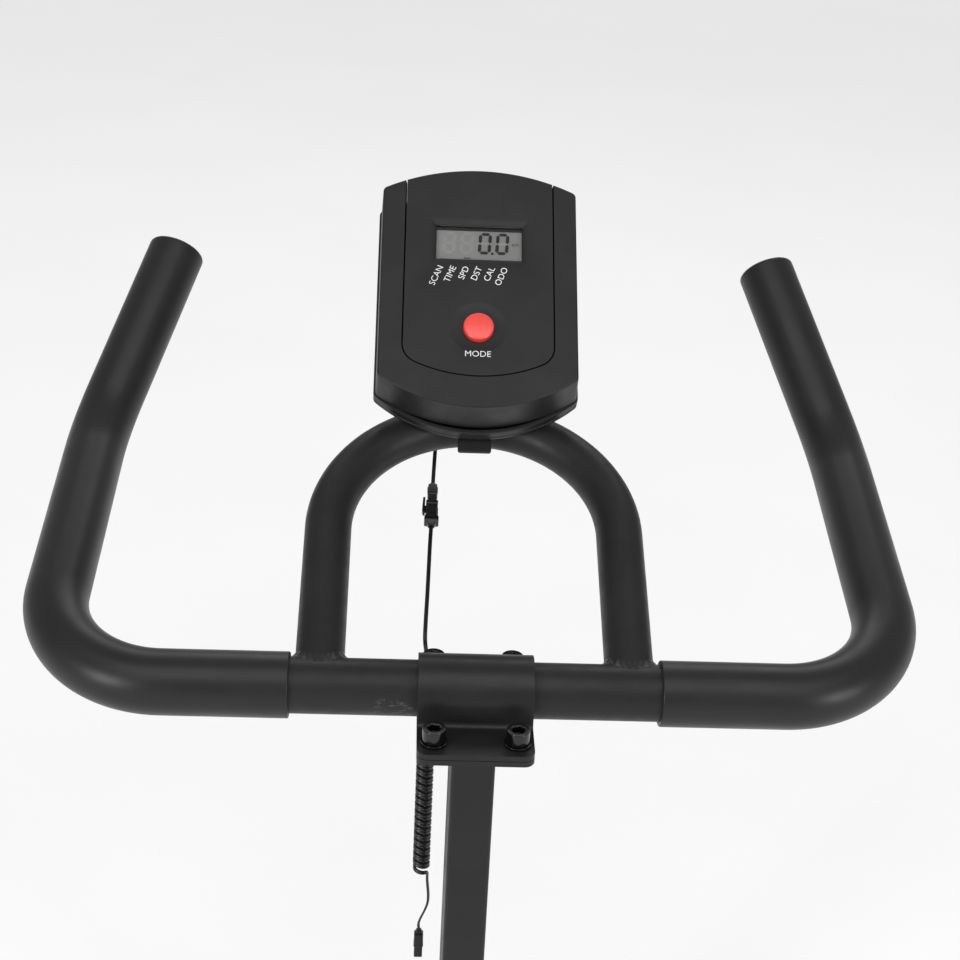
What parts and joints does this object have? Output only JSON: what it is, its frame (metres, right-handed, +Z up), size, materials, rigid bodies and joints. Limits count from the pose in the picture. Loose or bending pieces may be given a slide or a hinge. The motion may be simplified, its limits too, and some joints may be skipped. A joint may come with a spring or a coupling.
{
  "type": "exercise bike handlebar with console",
  "caption": "Black bullhorn handlebar for an exercise bike, with foam grips, a small display console on a tube hoop, a bolted clamp, a height post and a curly sensor lead.",
  "frame": {"origin": "centre of the flat underside of the post's end plug", "axes": "+Z up along the post, +Y forward away from the rider, +X to the rider's right"},
  "size_m": [0.527, 0.3762, 0.6205],
  "materials": {
    "tube_paint": "satin black powder coat with a faint orange-peel texture",
    "clamp_paint": "semi-gloss black powder coat",
    "grip_foam": "matt closed-cell foam with fine pores",
    "console_plastic": "fine spark-eroded texture, satin",
    "black_oxide_steel": "oiled black oxide",
    "plug_plastic": "moulded nylon",
    "button_red": "soft satin red",
    "clear_lens": "clear acrylic",
    "lcd_glass": "reflective grey liquid crystal display",
    "board_green": "solder resist",
    "cell_wrap": "shrink sleeve",
    "contact_metal": "nickel plate",
    "lead_pvc": "soft PVC"
  },
  "bodies": {
    "stem": {"handlebar_post": "tube_paint", "post_end_plug": "plug_plastic", "clamp_base": "clamp_paint", "clamp_cap": "clamp_paint", "clamp_bolt_front_left": "black_oxide_steel", "clamp_bolt_front_right": "black_oxide_steel", "clamp_bolt_rear_left": "black_oxide_steel", "clamp_bolt_rear_right": "black_oxide_steel", "washer_front_left": "black_oxide_steel", "washer_front_right": "black_oxide_steel", "washer_rear_left": "black_oxide_steel", "washer_rear_right": "black_oxide_steel", "lead_lower": "lead_pvc", "lead_curly": "lead_pvc", "lead_tail": "lead_pvc", "tail_plug": "plug_plastic"},
    "handlebar": {"handlebar_tube": "tube_paint", "grip_left": "grip_foam", "grip_right": "grip_foam", "console_hoop": "tube_paint", "console_bracket": "tube_paint", "front_shell": "console_plastic", "insert_panel": "console_plastic", "rear_shell": "console_plastic", "battery_1": "cell_wrap", "battery_2": "cell_wrap", "battery_contact_left": "contact_metal", "battery_contact_right": "contact_metal", "lcd_lens": "clear_lens", "lcd_glass": "lcd_glass", "circuit_board": "board_green", "tact_switch": "plug_plastic", "buzzer": "plug_plastic", "shell_screw_1": "black_oxide_steel", "shell_screw_2": "black_oxide_steel", "shell_screw_3": "black_oxide_steel", "shell_screw_4": "black_oxide_steel", "tongue_screw_1": "black_oxide_steel", "tongue_screw_2": "black_oxide_steel", "lead_grommet": "lead_pvc", "lead_pigtail": "lead_pvc", "connector_plug": "plug_plastic", "connector_socket": "plug_plastic"},
    "mode_button": {"mode_button": "button_red"},
    "battery_door": {"battery_door": "console_plastic"}
  },
  "joints": [
    {"name": "handlebar_tilt", "type": "hinge", "parent": "stem", "child": "handlebar", "pos_m": [0, 0, 0.3991], "axis": [1, 0, 0], "range_deg": [-15, 15]},
    {"name": "mode_button_press", "type": "slide", "parent": "handlebar", "child": "mode_button", "axis": [0, 0.632, -0.7749], "range_m": [0, 0.0015], "stiffness_N_per_m": 800},
    {"name": "battery_door_hinge", "type": "hinge", "parent": "handlebar", "child": "battery_door", "pos_m": [0, 0.22344, 0.53151], "axis": [-1, 0, 0], "range_deg": [0, 95]}
  ]
}
